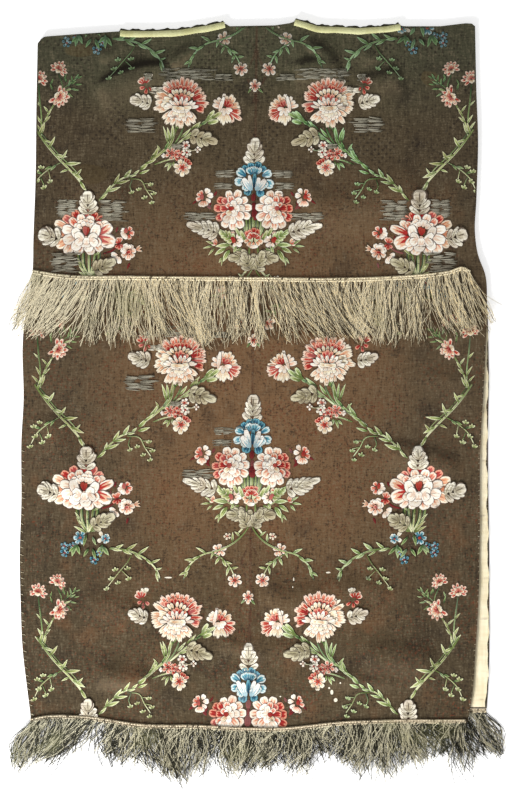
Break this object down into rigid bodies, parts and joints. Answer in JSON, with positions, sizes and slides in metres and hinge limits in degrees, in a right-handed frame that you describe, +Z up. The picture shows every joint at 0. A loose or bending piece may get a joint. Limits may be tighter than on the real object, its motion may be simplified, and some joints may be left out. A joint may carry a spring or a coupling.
{
  "type": "torah mantle",
  "caption": "Lined sleeve of flower-brocaded silk lying flat, with two tape-bound stave openings at its top and metal-thread fringe at waist and hem.",
  "frame": {"origin": "centre of the mantle as it lies, on the surface that it lies on", "axes": "+X across the mantle towards its open side, +Y up its length towards the stave openings, +Z up from the surface"},
  "size_m": [0.5829, 0.889, 0.0076],
  "materials": {
    "brocade": "brown ribbed silk brocaded with flowers in coloured silk and silver thread",
    "lining": "plain-woven cream linen, matte",
    "tape": "ribbed yellow silk tape",
    "metal_thread": "tarnished twisted metal thread, softly glinting"
  },
  "bodies": {
    "root": {"back_panel": "brocade", "back_lining": "lining", "front_panel": "brocade", "stave_tape_left": "tape", "stave_tape_right": "tape", "waist_fringe": "metal_thread", "hem_fringe": "metal_thread", "back_hem_fringe": "metal_thread"}
  },
  "joints": []
}
